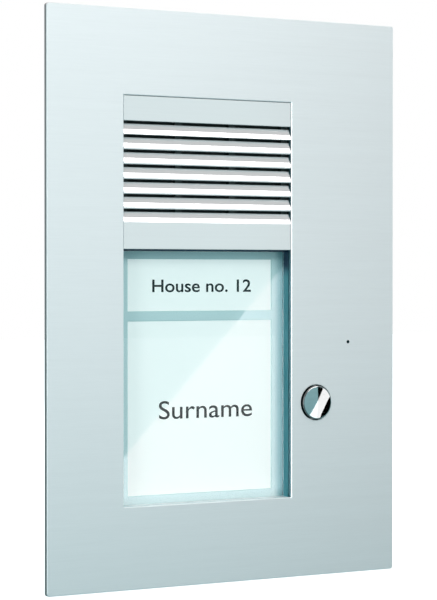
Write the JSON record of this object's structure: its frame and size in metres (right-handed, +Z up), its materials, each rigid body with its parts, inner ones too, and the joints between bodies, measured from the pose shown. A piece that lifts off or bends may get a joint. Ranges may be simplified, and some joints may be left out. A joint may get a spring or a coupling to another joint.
{
  "type": "door intercom panel",
  "caption": "Flush-mounted door intercom panel: metal plate with louvred loudspeaker, lit name window, bell push and microphone hole, on a shallow rear housing.",
  "frame": {"origin": "middle of the front plate's back face, which is the middle of the four wall studs", "axes": "+X to the right as a visitor sees the panel, +Y into the wall, +Z up"},
  "size_m": [0.16, 0.032, 0.225],
  "materials": {
    "plate_aluminium": "fine brushed, anodised",
    "louvre_aluminium": "satin anodised",
    "polished_steel": "mirror polished",
    "zinc_steel": "zinc plated",
    "magnet_steel": "dark plated",
    "brass": "turned",
    "black_plastic": "moulded, matt",
    "tray_plastic": "moulded, satin",
    "housing_plastic": "moulded, fine texture",
    "rubber": "matt",
    "black_cloth": "woven acoustic cloth",
    "cone_paper": "pressed pulp",
    "clear_acrylic": "clear, glossy",
    "frosted_acrylic": "frosted",
    "card": "smooth print stock",
    "circuit_board": "solder mask",
    "led_white": "clear cast",
    "capsule_metal": "drawn can",
    "chip_black": "moulded",
    "terminal_green": "moulded",
    "trimmer_blue": "moulded",
    "rotor_white": "moulded",
    "lead_insulation": "PVC insulation",
    "tinned_wire": "tinned"
  },
  "bodies": {
    "panel": {"front_plate": "plate_aluminium", "louvre_header": "louvre_aluminium", "louvre_slat_1": "louvre_aluminium", "louvre_slat_2": "louvre_aluminium", "louvre_slat_3": "louvre_aluminium", "louvre_slat_4": "louvre_aluminium", "louvre_slat_5": "louvre_aluminium", "louvre_slat_6": "louvre_aluminium", "louvre_sill": "louvre_aluminium", "wall_studs": "zinc_steel", "housing_bushes": "zinc_steel", "module_studs": "zinc_steel", "module_nuts": "zinc_steel", "speaker_clamps": "zinc_steel", "speaker_screws": "zinc_steel", "board_screws": "zinc_steel", "housing_screws": "zinc_steel", "bell_spring": "zinc_steel", "terminal_screws": "zinc_steel", "speaker_basket": "zinc_steel", "speaker_magnet": "magnet_steel", "board_posts": "brass", "louvre_carrier": "black_plastic", "switch_body": "black_plastic", "bell_guide": "black_plastic", "label_tray": "tray_plastic", "rear_housing": "housing_plastic", "cutout_seal": "rubber", "bell_seal": "rubber", "mic_boot": "rubber", "housing_gasket": "rubber", "cable_grommet": "rubber", "speaker_gasket": "rubber", "speaker_cloth": "black_cloth", "mic_membrane": "black_cloth", "speaker_cone": "cone_paper", "window_pane": "clear_acrylic", "light_guide": "frosted_acrylic", "address_card": "card", "name_card": "card", "main_board": "circuit_board", "led_strip": "circuit_board", "speaker_terminals": "circuit_board", "leds": "led_white", "mic_capsule": "capsule_metal", "capacitors": "capsule_metal", "chips": "chip_black", "terminal_block": "terminal_green", "trimmer_bodies": "trimmer_blue", "speaker_lead": "lead_insulation", "light_lead": "lead_insulation", "mic_leads": "tinned_wire"},
    "bell_push": {"bell_cap": "polished_steel"},
    "switch_slider": {"switch_plunger": "rotor_white"},
    "volume_screw": {"volume_rotor": "rotor_white"},
    "microphone_screw": {"microphone_rotor": "rotor_white"}
  },
  "joints": [
    {"name": "bell_press", "type": "slide", "parent": "panel", "child": "bell_push", "axis": [0, 1, 0], "range_m": [0, 0.0012], "stiffness_N_per_m": 800, "springref_m": -0.0015, "deforming": ["bell_spring"]},
    {"name": "switch_press", "type": "slide", "parent": "panel", "child": "switch_slider", "axis": [0, 1, 0], "range_m": [0, 0.0012]},
    {"name": "volume_turn", "type": "hinge", "parent": "panel", "child": "volume_screw", "pos_m": [0.012, 0.0165, -0.066], "axis": [0, 1, 0], "range_deg": [-135, 135]},
    {"name": "microphone_turn", "type": "hinge", "parent": "panel", "child": "microphone_screw", "pos_m": [0.024, 0.0165, -0.066], "axis": [0, 1, 0], "range_deg": [-135, 135]}
  ],
  "couplings": [
    {"joint": "switch_press", "follows": "bell_press", "ratio": 1}
  ]
}
